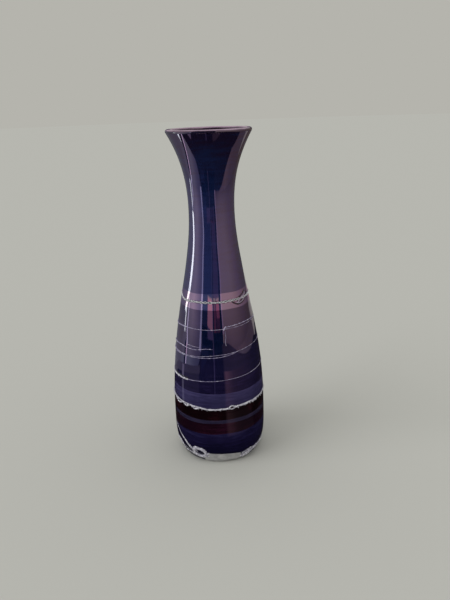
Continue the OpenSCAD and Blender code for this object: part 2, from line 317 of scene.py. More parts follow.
@dataclass(frozen=True)
class Outline:
    """The vase's outline, its walls and the unevenness that blowing leaves in them."""

    height: float
    mouth_r: float
    belly_r: float
    rim_seat: float
    neck_r: float = 20.0 * MM
    foot_r: float = 36.2 * MM
    heel_round: float = 2.5 * MM
    belly_h: float = 34.5 * MM
    neck_h: float = 233.0 * MM
    taper_power: float = 1.28
    flare_power: float = 2.3
    overhang: float = 0.3 * MM
    overlay_t: float = 1.6 * MM
    wall_t: float = 3.0 * MM
    uneven: float = 0.12 * MM
    true_foot_h: float = 8.0 * MM
    # Waves round the wall: size, number in a turn, phase, and radians they drift up the height.
    round_waves: Sequence[Sequence[float]] = ((1.3, 2, 0.7, 3.1), (0.8, 3, -1.1, -7.0),
                                              (0.35, 5, 2.3, 15.0), (0.16, 9, 0.0, 40.0))
    # Waves up the wall: size, radians up the height, how far they tilt, and where.
    rising_waves: Sequence[Sequence[float]] = ((0.5, 19.0, 1.7, 0.4), (0.12, 53.0, 2.1, -1.0))

    @classmethod
    def from_frame(cls) -> "Outline":
        """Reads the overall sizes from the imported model."""
        low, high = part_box("lip_wrap")
        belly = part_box("cobalt_band")
        return cls(height=high.z, mouth_r=(high.x - low.x) / 2, rim_seat=low.z,
                   belly_r=(belly[1].x - belly[0].x) / 2)

    def radius(self, z: Numbers) -> Numbers:
        """Outer radius: a bulging heel, a long taper that eases at both ends, and a flare.

        Args:
            z: Heights.

        Returns:
            The radius at each height.
        """
        heel = np.clip(1 - z / self.belly_h, 0, 1)
        heel_r = self.belly_r - (self.belly_r - self.foot_r) * heel ** 3
        edge = np.clip(1 - z / self.heel_round, 0, 1)
        heel_r = heel_r - self.heel_round * (1 - np.sqrt(1 - edge ** 2))
        t = np.clip((z - self.belly_h) / (self.neck_h - self.belly_h), 0, 1) ** self.taper_power
        taper_r = self.belly_r - (self.belly_r - self.neck_r) * (3 * t ** 2 - 2 * t ** 3)
        u = np.clip((z - self.neck_h) / (self.rim_seat - self.neck_h), 0, 1.05)
        flare_r = (self.mouth_r - self.overhang - self.neck_r) * u ** self.flare_power
        return np.where(z < self.belly_h, heel_r,
                        np.where(z < self.neck_h, taper_r, self.neck_r + flare_r))

    def blown(self, azimuth: Array, z: Numbers) -> Array:
        """How far the wall stands out of its true circle: slow waves round it and up it.

        Args:
            azimuth: Azimuths in radians.
            z: Heights.

        Returns:
            The change of radius at each place.
        """
        rise = z / self.height
        waves = sum(size * np.sin(count * azimuth + phase + drift * rise)
                    for size, count, phase, drift in self.round_waves)
        waves = waves + sum(size * np.sin(climb * rise + tilt * np.sin(azimuth + where))
                            for size, climb, tilt, where in self.rising_waves)
        return self.uneven * waves * np.clip(z / self.true_foot_h, 0, 1)

    def wall(self, azimuth: Array, z: Numbers, inset: float = 0.0) -> Array:
        """Points on the wall.

        Args:
            azimuth: Azimuths in radians.
            z: Heights, of a shape that goes with the azimuths'.
            inset: How far inside the outer face.

        Returns:
            An array with a last axis of x, y and z.
        """
        return around(self.radius(z) + self.blown(azimuth, z) - inset, azimuth, z)

    def outward(self, azimuth: Array, z: Array) -> Array:
        """Unit normals of the true outline, tilted by the slope of its radius.

        Args:
            azimuth: Azimuths in radians.
            z: Heights.

        Returns:
            An array with a last axis of x, y and z.
        """
        step = 0.5 * MM
        slope = (self.radius(z + step) - self.radius(z - step)) / (2 * step)
        size = np.sqrt(1 + slope ** 2)
        return around(1 / size, azimuth, -slope / size)


@dataclass(frozen=True)
class Seam:
    """The line between two bands: a level, a climb towards +X and a slight wander."""

    level: float
    climb: float = 0.0
    seed: int = 0
    wander: float = 0.22 * MM

    def __call__(self, azimuth: Array) -> Array:
        """Heights of the seam at azimuths in radians."""
        drift = ripple(azimuth / FULL_TURN, self.seed, 2, 9) if self.seed else 0.0
        return self.level + self.climb * np.sin(azimuth) + self.wander * drift


@dataclass(frozen=True)
class SkirtEdge:
    """The foot end of the cobalt glass: high over the window at the front, low elsewhere."""

    high_left: float = 11.9 * MM
    high_right: float = 9.3 * MM
    low: float = 0.5 * MM
    left: float = math.radians(-23)
    right: float = math.radians(28.5)
    blur: float = math.radians(0.8)
    scallop: float = 0.14 * MM

    def __call__(self, azimuth: Array) -> Array:
        """Heights of the edge: a plateau that slopes down to the right, with soft shoulders."""
        turn = turned(azimuth)
        across = np.clip((turn - self.left) / (self.right - self.left), 0, 1)
        high = self.high_left + (self.high_right - self.high_left) * across ** 2.5
        high = high + self.scallop * np.sin(9 * turn)
        left, right = (1 / (1 + np.exp(np.clip(gap / self.blur, -30, 30)))
                       for gap in (self.left - turn, turn - self.right))
        return self.low + (high - self.low) * left * right


@dataclass(frozen=True)
class TrailLine:
    """The middle line of a trail: a level, a slight wander, and a few rises and dips.

    `waves` gives the fewest and the most waves of the wander, and each of `bends` is a rise
    in millimetres with the azimuth and the spread of its bell curve in degrees.
    """

    level: float
    seed: int
    waves: tuple[int, int]
    bends: Sequence[tuple[float, float, float]]
    wander: float = 0.2 * MM

    def __call__(self, azimuth: Array) -> Array:
        """Heights of the line at azimuths in radians."""
        line = self.level + self.wander * ripple(azimuth / FULL_TURN, self.seed, *self.waves)
        return line + sum(rise * MM * bell(azimuth, *place) for rise, *place in self.bends)


# ---- Finishes ----------------------------------------------------------------


@dataclass(frozen=True)
class Glass:
    """What all the glasses share: three tones through a noise, a fine relief and a gloss."""

    name: str
    deep: str
    mid: str
    light: str

    def coat(self, tree: Any, shade: Any, places: Sequence[float], relief: Any,
             bump: tuple[float, float], gloss: dict) -> None:
        """Ends the material: the tones, the bump, the shader and the output.

        Args:
            tree: The material's node tree.
            shade: The socket that chooses between the tones.
            places: Where the deep, the middle and the light tone lie on it.
            relief: The socket that the bump reads.
            bump: How strong the bump is, and its height in millimetres.
            gloss: The shader's own settings.
        """
        strength, height_mm = bump
        ramp = add_node(tree, "ShaderNodeValToRGB", None, {"Fac": shade})
        set_ramp(ramp, list(zip(places, (self.deep, self.mid, self.light))))
        raised = add_node(tree, "ShaderNodeBump",
                          {"Strength": strength, "Distance": height_mm * MM},
                          {"Height": relief})
        surface = add_node(tree, "ShaderNodeBsdfPrincipled", gloss,
                           {"Base Color": ramp.outputs["Color"], "Normal": raised.outputs[0]})
        add_node(tree, "ShaderNodeOutputMaterial", None, {"Surface": surface.outputs[0]})


@dataclass(frozen=True)
class CasedGlass(Glass):
    """Coloured overlay glass, blown and fire-polished, with or without a metallic lustre.

    The colour lies in thin streaks that run round the vase, drawn out as it turned on the
    pipe, and in clouds 26 mm wide. The lustre is a fumed film: it reflects far more than
    plain glass, and in mauve. Where `paler` is set, the glass grows paler from the first of
    the two heights to the second.
    """

    lustre: str = "#ffffff"
    ior: float = 1.5
    roughness: float = 0.035
    streak_mm: float = 2.2
    drawn: float = 9.0
    detail: float = 5.0
    cloudy: float = 0.35
    cloud_mm: float = 26.3158
    pit_mm: float = 4.7619
    bump_mm: float = 0.02
    pale_z_mm: tuple[float, float] = (0.0, 1.0)
    paler: float = 0.0
    tone_places: tuple[float, float, float] = (0.34, 0.52, 0.68)

    def build(self) -> Any:
        """Makes the material.

        Returns:
            The new material.
        """
        material = bpy.data.materials.new(self.name)
        tree = empty_tree(material)
        place = add_node(tree, "ShaderNodeTexCoord").outputs["Object"]
        per_m = 1 / (self.streak_mm * MM)
        flat = add_node(tree, "ShaderNodeMapping",
                        {"Scale": (per_m / self.drawn, per_m / self.drawn, per_m)},
                        {"Vector": place})
        streaks = add_node(tree, "ShaderNodeTexNoise",
                           {"Scale": 1.0, "Detail": self.detail, "Roughness": 0.62,
                            "Distortion": 0.4},
                           {"Vector": flat.outputs[0]})
        clouds, pits = (add_node(tree, "ShaderNodeTexNoise",
                                 {"Scale": 1 / (size * MM), "Detail": detail,
                                  "Roughness": 0.5}, {"Vector": place})
                        for size, detail in ((self.cloud_mm, 3.0), (self.pit_mm, 2.0)))
        both = add_node(tree, "ShaderNodeMix", {"data_type": "FLOAT", 0: self.cloudy},
                        {2: streaks.outputs["Fac"], 3: clouds.outputs["Fac"]})
        shade = both.outputs[0]
        if self.paler:
            low, high = self.pale_z_mm
            axes = add_node(tree, "ShaderNodeSeparateXYZ", None, {"Vector": place})
            climb = add_node(tree, "ShaderNodeMapRange",
                             {"From Min": low * MM, "From Max": high * MM,
                              "To Min": -self.paler, "To Max": self.paler},
                             {"Value": axes.outputs["Z"]})
            shade = add_node(tree, "ShaderNodeMath", {"operation": "ADD"},
                             {0: shade, 1: climb.outputs["Result"]}).outputs[0]
        self.coat(tree, shade, self.tone_places, pits.outputs["Fac"], (0.5, self.bump_mm),
                  {"Roughness": self.roughness, "IOR": self.ior,
                   "Specular Tint": linear(self.lustre)})
        return material


@dataclass(frozen=True)
class OpaqueGlass(Glass):
    """Opal or white enamel glass, trailed on hot: its grain is specks of undissolved white.

    Where `soft` is set, light goes a little way in, so its edges look soft.
    """

    grain_mm: float = 1.6
    roughness: float = 0.12
    ior: float = 1.5
    soft: float = 0.15
    bump_mm: float = 0.06
    soft_mm: float = 0.8
    tone_places: tuple[float, float, float] = (0.33, 0.5, 0.66)

    def build(self) -> Any:
        """Makes the material.

        Returns:
            The new material.
        """
        material = bpy.data.materials.new(self.name)
        tree = empty_tree(material)
        place = add_node(tree, "ShaderNodeTexCoord").outputs["Object"]
        mottle = add_node(tree, "ShaderNodeTexNoise",
                          {"Scale": 1 / (self.grain_mm * MM), "Detail": 4.0, "Roughness": 0.6},
                          {"Vector": place}).outputs["Fac"]
        self.coat(tree, mottle, self.tone_places, mottle, (0.6, self.bump_mm),
                  {"Roughness": self.roughness, "IOR": self.ior,
                   "Subsurface Weight": self.soft, "Subsurface Radius": (1.0, 1.0, 1.0),
                   "Subsurface Scale": self.soft_mm * MM})
        return material


class Finish(Enum):
    """Every finish on the vase, each with the record's slot that it belongs to."""

    # Aubergine overlay, blown and then fumed with metal salts: near black, and mauve where the
    # film mirrors. It is painted darker up the neck, towards the lip: a painted reflection of the
    # dark ground that the flare faces.
    NECK = ("aubergine_glass", CasedGlass(
        "aubergine_lustre_glass", "#140f28", "#101b3e", "#18234c", "#ffd6f0", 2.25,
        pale_z_mm=(292, 240), paler=0.13))
    # Blue overlay under the heaviest fumed film: it mirrors almost like metal, in rose.
    ROSE = ("rose_glass", CasedGlass(
        "rose_lustre_glass", "#2c3860", "#343f66", "#444468", "#ffcad6", 4.0, streak_mm=5.0,
        drawn=3.0, detail=2.0))
    # Navy overlay with a fumed film: deep blue, with violet mirrors.
    PLUM = ("plum_glass", CasedGlass(
        "plum_lustre_glass", "#050f2a", "#0b1432", "#1c1a3c", "#ffd2ec", 2.25))
    # The same kind of glass under a thinner film, so that its mirrors are greyer.
    SMOKE = ("smoke_glass", CasedGlass(
        "smoke_lustre_glass", "#0b0e2a", "#141334", "#221d3e", "#f6e0ff", 2.1))
    # Fire-polished overlays with little film or none: deep colour, and a clear glassy shine.
    INDIGO = ("indigo_glass", CasedGlass(
        "indigo_cased_glass", "#0e0c26", "#191434", "#251e42", "#efe0ff", 1.7))
    LAVENDER = ("lavender_glass", CasedGlass(
        "lavender_cased_glass", "#292546", "#38345a", "#4c466c", "#efe4ff", 1.5,
        pale_z_mm=(61, 79), paler=0.13))
    # Copper-red glass, struck dark in the fire: nearly black, with red clouds.
    OXBLOOD = ("oxblood_glass", CasedGlass(
        "oxblood_cased_glass", "#060203", "#120509", "#300f18", "#ffffff", 1.4, cloudy=0.75))
    MURREY = ("oxblood_glass", CasedGlass(
        "murrey_cased_glass", "#0d0410", "#1a0814", "#2e1124", "#ffffff", 1.4, cloudy=0.6))
    # Grey and blue overlays, fire-polished. The blue one is painted paler up the skirt, towards
    # the
    # belly: a painted highlight.
    SLATE = ("slate_glass", CasedGlass(
        "slate_cased_glass", "#1a182c", "#28243a", "#3a3348", "#ffffff", 1.45))
    COBALT = ("cobalt_glass", CasedGlass(
        "cobalt_cased_glass", "#0f0d26", "#181434", "#262346", "#e8e4ff", 1.45,
        pale_z_mm=(16, 37), paler=0.16))
    # Opal gathers: milky and soft at the foot, and under a mauve film inside.
    OPAL = ("opal_glass", OpaqueGlass(
        "opal_foot_glass", "#9a999b", "#a9a8aa", "#b6b5b6", 6.0))
    LINER = ("opal_glass", CasedGlass(
        "lustred_opal_liner", "#ac90a0", "#bea4b2", "#d0bac4", "#ffe0f2", 1.7))
    # A lilac wrap, melted round in the fire, and glossy. Its colour is painted dark below and
    # pale along
    # its top: painted shade under the bead, and a painted highlight along its top.
    LIP = ("lilac_glass", CasedGlass(
        "lilac_lip_glass", "#181226", "#54445a", "#aa92a8", "#ffe0ee", 2.2,
        pale_z_mm=(298.0, 299.8), paler=0.3))
    # Trails laid on hot. First the fumed silver one, bright and slightly satin, and its end,
    # which is veiled by the glass that it sank into.
    SILVER = ("silvered_glass", OpaqueGlass(
        "silvered_trail_glass", "#9896a2", "#d2d2da", "#f2f2f6", 1.4, 0.2, 1.7, 0.0))
    VEIL = ("silvered_glass", OpaqueGlass(
        "veiled_silver_glass", "#6c5c74", "#9c8aa2", "#c8bacc", 1.4, 0.2, 1.7, 0.0))
    # Painted shadow: dark glass laid under and beside the trails, where their shadow falls on the
    # wall.
    BED = ("plum_glass", CasedGlass(
        "painted_trail_shadow_glass", "#160c14", "#22141e", "#32202c", "#ffffff", 1.5))
    # A thin opal thread that the dark wall tints lavender, and white enamel, grey where thin.
    PALE = ("pale_trail_glass", OpaqueGlass(
        "pale_thread_glass", "#645e7e", "#948caa", "#c4bed4", 3.0, 0.15, 1.6, 0.0))
    WHITE = ("white_trail_glass", OpaqueGlass(
        "white_enamel_glass", "#706c7a", "#bab8c6", "#f0eff6", 1.5, 0.16, 1.5, 0.0))

    @property
    def slot(self) -> str:
        """The record's material slot."""
        return self.value[0]

    @property
    def material(self) -> Any:
        """The material, made the first time that it is asked for."""
        made = bpy.data.materials.get(self.value[1].name)
        return made or self.value[1].build()


def add_piece(name: str, surfaces: Sequence[Surface], finish: Finish, *nodes: str,
              sharp_deg: float = WALL_SHARP_DEG) -> None:
    """Makes a piece, gives it its finish and its place in the frame, and reports it.

    Args:
        name: The object's name.
        surfaces: Vertices and faces of each closed surface.
        finish: Its finish.
        nodes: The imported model's nodes that it stands for.
        sharp_deg: Edges that bend by more than this many degrees are shaded as sharp.
    """
    piece = new_piece(name, surfaces, sharp_deg)
    piece.data.materials.append(finish.material)
    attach(piece, BODY)
    if nodes:
        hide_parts(*nodes)
    log.info("%s: %d faces, %s", name, len(piece.data.polygons), finish.name.lower())


# ---- The vessel --------------------------------------------------------------


@dataclass
class Vessel:
    """Liner, foot, bands and lip: everything that holds water."""

    outline: Outline
    row: float = 1.0 * MM
    floor_t: float = 3.5 * MM
    bowl_round: float = 10 * MM
    dimple_r: float = 13 * MM
    dimple: float = 1.2 * MM
    ring_w: float = 1.2 * MM
    cap_r: float = 0.3 * MM  # the last ring before a middle point
    azimuth: Array = field(
        default_factory=lambda: np.linspace(0, FULL_TURN, ROUND_STEPS, endpoint=False))
    seams: dict[str, Height] = field(default_factory=dict)

    def __post_init__(self) -> None:
        """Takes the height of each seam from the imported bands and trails, foot to lip."""
        top = {node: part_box(f"{node}_band")[1].z for node in (
            "cobalt", "lower_oxblood", "slate", "upper_oxblood", "lavender", "plum", "rose")}
        tilted = {}
        for node in ("lower_trail", "middle_trail"):
            low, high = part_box(node)
            tilted[node] = ((low.z + high.z) / 2, (high.z - low.z - self.ring_w) / 2)
        self.seams = {
            "skirt": SkirtEdge(),
            "cobalt": Seam(top["cobalt"], 1.0 * MM, 11),
            "lower_oxblood": Seam(top["lower_oxblood"], 0.3 * MM, 12),
            "slate": Seam(top["slate"], 0.2 * MM, 13),
            # The rope's own line, which sags a little left of the front.
            "upper_oxblood": TrailLine(top["upper_oxblood"] + 0.2 * MM, 21, (3, 11),
                                       ((-1.7, -8, 25),)),
            "lavender": Seam(top["lavender"], 0.4 * MM, 15),
            "indigo": Seam(*tilted["lower_trail"], 16),
            "smoke": Seam(*tilted["middle_trail"], 17),
            "plum": Seam(top["plum"], 0.2 * MM, 18),
            "rose": Seam(top["rose"], 0.3 * MM, 19),
            "rim": Seam(self.outline.rim_seat),
        }

    def ring_row(self, r: Numbers, z: Numbers) -> Array:
        """One row of points round the axis, at a radius and a height."""
        return around(r, self.azimuth, z)

    def wall_row(self, z: Numbers, inset: float = 0.0) -> Array:
        """Points on the wall, or inside it, at every azimuth: a row, or one for each row of z."""
        return self.outline.wall(self.azimuth, z, inset)

    def band(self, node: str, low: str, high: str, finish: Finish) -> None:
        """One band of the overlay: a closed ring between two seams, as thick as the overlay.

        Rows run up the outer face from the lower seam to the upper one, then down the inner
        face. Columns run round the axis. Above the skirt's edge, rows lie closer together.

        Args:
            node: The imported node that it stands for.
            low: Name of the lower seam.
            high: Name of the upper seam.
            finish: The band's glass.
        """
        bottom, top = self.seams[low](self.azimuth), self.seams[high](self.azimuth)
        rows = max(5, round(float((top - bottom).mean()) / self.row) + 1)
        share = np.linspace(0, 1, rows)[:, None] ** (1.6 if low == "skirt" else 1.0)
        back = np.linspace(0, 1, max(3, rows // 6))[:, None]
        outer = self.wall_row(bottom + (top - bottom) * share)
        inner = self.wall_row(top + (bottom - top) * back, self.outline.overlay_t)
        add_piece(f"{node}_casing", [ringed(np.concatenate([outer, inner]))], finish, node)

    def foot(self) -> None:
        """The opal foot: polished dimple, ground ring, rounded heel and outer wall.

        The outer wall goes up to the edge of the cobalt glass. Above it the solid steps in
        under that glass, and it closes below the liner.
        """
        inset, seat = self.outline.overlay_t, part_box("foot_pad")[1].z
        top = self.seams["skirt"](self.azimuth)
        ring_r = self.outline.foot_r - self.outline.heel_round - self.dimple_r
        rows = [self.ring_row(self.dimple_r * share, self.dimple * (1 - share ** 2))
                for share in np.linspace(0.02, 1, 9)]
        rows += [self.ring_row(self.dimple_r + ring_r * share, 0.0) for share in (0.5, 0.96)]
        rows += [self.wall_row(top * share ** 2) for share in np.linspace(0, 1, 24)]
        rows += [self.wall_row(top, inset), self.wall_row(seat, inset),
                 self.ring_row(self.cap_r, seat)]
        add_piece("opal_foot", [capped(np.stack(rows))], Finish.OPAL, "foot_pad")

    def liner(self) -> None:
        """The opal gather inside: outer face, rim, bore and bowl-shaped floor."""
        shape, start = self.outline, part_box("liner")[0].z
        floor = start + self.floor_t
        bowl_top = floor + self.bowl_round
        corner_r = float(shape.radius(bowl_top)) - shape.wall_t - self.bowl_round
        rows = [self.ring_row(self.cap_r, start)]
        rows += [self.wall_row(z, shape.overlay_t)
                 for z in np.linspace(start, shape.rim_seat, 60)]
        rows += [self.wall_row(z, shape.wall_t)
                 for z in np.linspace(shape.rim_seat, bowl_top, 150)]
        rows += [self.ring_row(corner_r + self.bowl_round * math.cos(turn),
                               bowl_top - self.bowl_round * math.sin(turn))
                 for turn in np.radians(np.linspace(8, 90, 12))]
        rows += [self.ring_row(corner_r * share, floor) for share in (0.7, 0.4, 0.1, 0.01)]
        add_piece("opal_liner", [capped(np.stack(rows))], Finish.LINER, "liner")

    def lip(self) -> None:
        """The lip wrap: a fire-polished bead on the rim, a little uneven in its thickness."""
        shape = self.outline
        bead = shape.wall_t / 2 + shape.overhang
        middle_z = shape.height - bead
        middle_r = (shape.radius(shape.rim_seat) - shape.wall_t / 2
                    + shape.blown(self.azimuth, shape.rim_seat))
        low = math.asin((middle_z - shape.rim_seat) / bead)
        swell = bead * (0.97 + 0.03 * ripple(self.azimuth / FULL_TURN, 31, 3, 17))
        rows = [self.ring_row(middle_r + swell * math.cos(turn),
                              middle_z + swell * math.sin(turn))
                for turn in np.linspace(-low, math.pi + low, 22)]
        add_piece("lilac_lip", [ringed(np.stack(rows))], Finish.LIP, "lip_wrap")

    def build(self) -> None:
        """Makes every piece of the vessel: foot, liner, the bands from the foot up, and lip."""
        self.foot()
        self.liner()
        seams = list(self.seams)
        glasses = (Finish.COBALT, Finish.MURREY, Finish.SLATE, Finish.OXBLOOD, Finish.LAVENDER,
                   Finish.INDIGO, Finish.SMOKE, Finish.PLUM, Finish.ROSE, Finish.NECK)
        for low, high, finish in zip(seams, seams[1:], glasses):
            node = "neck_overlay" if high == "rim" else f"{high}_band"
            self.band(node, low, high, finish)
        self.lip()


# ---- Trails ------------------------------------------------------------------


@dataclass(frozen=True)
class Rod:
    """Section of a trail: how wide it is on the wall, and how far it stands out of it.

    `ragged` and `frayed` say how strong its slow and its fine unevenness are, and `lumps`
    gives the waves of the slow one along its length. `fade_mm` is the length at each free
    end over which it was drawn thin, down to `tip` of its size, and `bed_mm` how deep its
    back lies in the wall. It never pinches to less than `pinch` of its width, nor sinks to
    less than `flat_mm`.
    """

    width_mm: float
    rise_mm: float
    ragged: float = 0.12
    frayed: float = 0.0
    lumps: tuple[int, int] = (12, 60)
    seed: int = 1
    fade_mm: float = 2.0
    bed_mm: float = 0.35
    sides: int = 8
    tip: float = 0.12
    pinch: float = 0.15
    flat_mm: float = 0.08


@dataclass
class Trails:
    """Every rod of glass that is laid on the wall."""

    outline: Outline
    seams: dict[str, Height]

    def sweep(self, path: Array, rod: Rod, closed: bool, scale: Any = 1.0) -> Surface:
        """Carries a rod's section along a path on the wall.

        At each point the section lies across the path. Its upper and lower halves have their
        own uneven widths, its face stands out by the rise and its back is bedded in the wall.

        Args:
            path: Azimuths in radians and heights in metres, (n, 2).
            rod: The section.
            closed: Whether the path closes on itself.
            scale: The section's size as a share: one number, one for each point, or a
                function of the azimuth in degrees.

        Returns:
            A closed surface.
        """
        azimuth, z = path.T
        base = self.outline.wall(azimuth, z)
        if closed:
            along = np.roll(base, -1, 0) - np.roll(base, 1, 0)
        else:
            along = np.gradient(base, axis=0)
        out = self.outline.outward(azimuth, z)
        across = np.cross(out, along)
        across /= np.linalg.norm(across, axis=1, keepdims=True)
        place = np.arange(len(path)) / (len(path) if closed else len(path) - 1)
        low, high = rod.lumps
        halves = []
        for side in (0, 1):
            lump = ripple(place, rod.seed * 10 + side, low, high, closed)
            fray = ripple(place, rod.seed * 10 + 5 + side, high, 4 * high, closed)
            half = 1 + rod.ragged * lump + rod.frayed * np.maximum(fray, -0.4)
            halves.append(rod.width_mm * MM / 2 * np.maximum(half, rod.pinch))
        swell = 1 + 0.6 * rod.ragged * ripple(place, rod.seed * 10 + 8, low, high, closed)
        size = (scale(np.degrees(azimuth)) if callable(scale) else scale) + 0 * place
        if not closed:
            gaps = np.linalg.norm(np.diff(base, axis=0), axis=1)
            length = np.concatenate([[0], np.cumsum(gaps)])
            from_end = np.minimum(length, length[-1] - length)
            end = np.clip(from_end / (rod.fade_mm * MM), 0, 1)
            size = size * (rod.tip + (1 - rod.tip) * np.sqrt(1 - (1 - end) ** 2))
        turn = np.linspace(0, FULL_TURN, rod.sides, endpoint=False)[None, :]
        x, y = np.cos(turn), np.sin(turn)
        half_w = np.where(x > 0, halves[0][:, None], halves[1][:, None]) * x * size[:, None]
        rise = np.maximum(rod.rise_mm * (swell * size)[:, None], rod.flat_mm) * MM
        depth = np.where(y > 0, rise, rod.bed_mm * MM) * y
        grid = (base[:, None] + across[:, None] * half_w[..., None]
                + out[:, None] * depth[..., None])
        return ringed(grid) if closed else capped(grid)

    def ring_path(self, height: Height, count: int = 900) -> Array:
        """A path all round the wall, at a height that changes with the azimuth."""
        azimuth = np.linspace(0, FULL_TURN, count, endpoint=False)
        return np.stack([azimuth, height(azimuth)], 1)

    def knotted(self, knots: Knots, count: int) -> Array:
        """A path through knots given as azimuth in degrees and height in millimetres."""
        return curve_through(knots, count) * (math.pi / 180, MM)

    def strand(self, knots: Knots, count: int, rod: Rod, scale: Any = 1.0) -> Surface:
        """An open rod with free ends, through knots in degrees and millimetres."""
        return self.sweep(self.knotted(knots, count), rod, False, scale)

    def lay(self, name: str, surfaces: Sequence[Surface], finish: Finish, *nodes: str) -> None:
        """Makes one piece of a trail, shaded as fire leaves it."""
        add_piece(name, surfaces, finish, *nodes, sharp_deg=TRAIL_SHARP_DEG)

    def crossing(self, path: Array, turns: float, swing: float, rod: Rod) -> list[Surface]:
        """Two fine strands that cross and part along a closed path.

        Each strand swings off the path by `swing` times the sine of its phase, one up where
        the other goes down, and the phase wanders a little.

        Args:
            path: Azimuths in radians and heights in metres, (n, 2).
            turns: Whole waves of the swing along the path.
            swing: How far each strand swings.
            rod: Each strand's section.

        Returns:
            The two strands' surfaces.
        """
        place = np.arange(len(path)) / len(path)
        phase = FULL_TURN * turns * place + 0.9 * ripple(place, rod.seed, 3, 14)
        wave = np.sin(phase) * (1 + 0.3 * ripple(place, rod.seed + 3, 8, 40))
        off = swing * np.stack([0 * wave, wave], 1)
        return [self.sweep(path + side * off, rod, True) for side in (1, -1)]

    def silver(self) -> None:
        """The silvered chain of two fine strands, and the loop where its end was laid."""
        low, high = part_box("silver_trail")
        # It dips left of the front and rises at the far left.
        line = TrailLine((low.z + high.z) / 2 + 0.4 * MM, 41, (2, 8),
                         ((-1.2, -57, 15), (2.4, -88, 14)))
        path = self.ring_path(line, 1800)
        fine = Rod(0.62, 0.5, 0.3, 0.1, (40, 160), 42)
        self.lay("silver_chain", self.crossing(path, 27, 0.62 * MM, fine), Finish.SILVER,
                 "silver_trail")
        # Painted shadow: a dark strip under the chain, the shade beside its strands.
        shadow_rod = Rod(2.0, 0.14, 0.2, 0.1, (40, 160), 54)
        self.lay("silver_chain_painted_shadow", [self.sweep(path, shadow_rod, True)], Finish.BED)
        # Painted shadow: dark rods under the loop, the shade round its strands.
        loop = [(64, 161.6), (61, 160.9), (54, 159.6), (46, 158.0), (37, 156.6), (29, 155.4),
                (33, 153.4), (39, 152.1), (47, 152.0), (54, 153.4), (61, 155.4), (66, 157.6),
                (68, 160.0)]
        inner = [(47, 156.6), (42, 155.6), (40.5, 154.0), (45, 153.4), (52, 154.8)]
        dark = Rod(1.2, 0.3, 0.3, 0.1, (6, 30), 43, sides=10)
        self.lay("silver_loop_painted_shadow", [self.strand(loop, 260, dark),
                                     self.strand(inner, 90, dark)], Finish.BED)
        upper = [(43, 152.4), (41.5, 154.4), (44, 156.0), (50, 157.0), (56, 157.6), (60, 158.8),
                 (61, 160.6)]
        lower = [(37, 153.6), (42, 152.9), (48, 153.3), (54, 154.6), (59, 156.2)]
        light = Rod(1.1, 0.6, 0.35, 0.1, (6, 30), 55)
        self.lay("silver_loop", [self.strand(knots, 140, light) for knots in (upper, lower)],
                 Finish.VEIL, "silver_curl")

    def pale_rings(self) -> None:
        """The fine pale threads all round the body, each thickest left of the front."""
        low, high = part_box("upper_trail")
        # The upper one is higher on the right and lowest at the far left. The others keep to
        # the seams above and below the smoke glass.
        upper = TrailLine((low.z + high.z) / 2, 44, (2, 7), ((-2.0, -90, 22), (1.0, 55, 34)))
        for node, line, left, spread, seed in (
                ("upper_trail", upper, -66, 26, 45),
                ("middle_trail", self.seams["smoke"], -75, 20, 46),
                ("lower_trail", self.seams["indigo"], -60, 22, 47)):
            path = self.ring_path(line)
            thread = self.sweep(path, Rod(0.55, 0.35, 0.25, 0.1, (20, 120), seed), True,
                                0.75 + 1.4 * bell(path[:, 0], left, spread))
            self.lay(f"{node}_thread", [thread], Finish.PALE, node)

    def clot(self) -> None:
        """Where the lower trail began: a thick clot of white, with a painted shadow above it: a
        strip of dark glass.
        """
        turn = np.radians(np.linspace(-80, -41, 160))
        z = self.seams["indigo"](turn)
        for name, rod, lift, finish in (
                ("lower_trail_clot", Rod(1.7, 0.8, 0.25, 0.1, (3, 16), 56, 2.5, sides=10),
                 0.0, Finish.WHITE),
                # Painted shadow: a dark strip just above the clot.
                ("lower_trail_painted_shadow", Rod(1.4, 0.25, 0.35, 0.2, (3, 16), 57, 2.5),
                 1.3 * MM, Finish.BED)):
            self.lay(name, [self.sweep(np.stack([turn, z + lift], 1), rod, False)], finish)

    def pale_laps(self) -> None:
        """The short pale threads: second turns beside the rings, a drip and a loose strand."""
        rough, blob, drip = (Rod(0.7, 0.5, 0.45, 0.25, (8, 40), 48), Rod(1.5, 0.7, 0.2, seed=49),
                             Rod(0.4, 0.25, seed=50))
        upper = [(10, 132.2), (14, 134.2), (24, 134.6), (34, 134.9), (44, 135.2), (54, 135.2),
                 (64, 134.9), (72, 134.4), (80, 134.0)]
        self.lay("upper_trail_lap_thread", [
            self.strand(upper, 400, rough),
            self.strand([(9.5, 131.2), (11.5, 133.0), (13.5, 135.0)], 30, blob),
            self.strand([(12.0, 131.0), (12.6, 126.0), (11.6, 121.0), (12.2, 117.5)], 60, drip),
        ], Finish.PALE, "upper_trail_lap")
        middle = [(-84, 102.9), (-77, 104.3), (-66, 105.5), (-52, 106.2), (-30, 106.8),
                  (-6, 107.6), (8, 108.5), (20, 109.9), (28, 111.2)]
        self.lay("middle_trail_lap_thread",
                 [self.strand(middle, 400, Rod(0.5, 0.35, 0.25, seed=51))],
                 Finish.PALE, "middle_trail_lap")
        loose = [(-90, 113.0), (-80, 113.4), (-70, 113.8), (-57, 114.5), (-44, 113.9),
                 (-32, 113.8), (-22, 114.9), (-14, 115.6), (-6, 115.4)]
        path = self.knotted(loose, 400)
        thick = self.sweep(path, Rod(0.9, 0.5, 0.3, 0.1, seed=52), False,
                           0.55 + 0.6 * bell(path[:, 0], -80, 40))
        thin = self.strand([(-46, 117.0), (-34, 116.5), (-23, 116.4)], 80,
                           Rod(0.4, 0.3, seed=53))
        self.lay("middle_strand_thread", [thick, thin], Finish.PALE, "middle_strand")

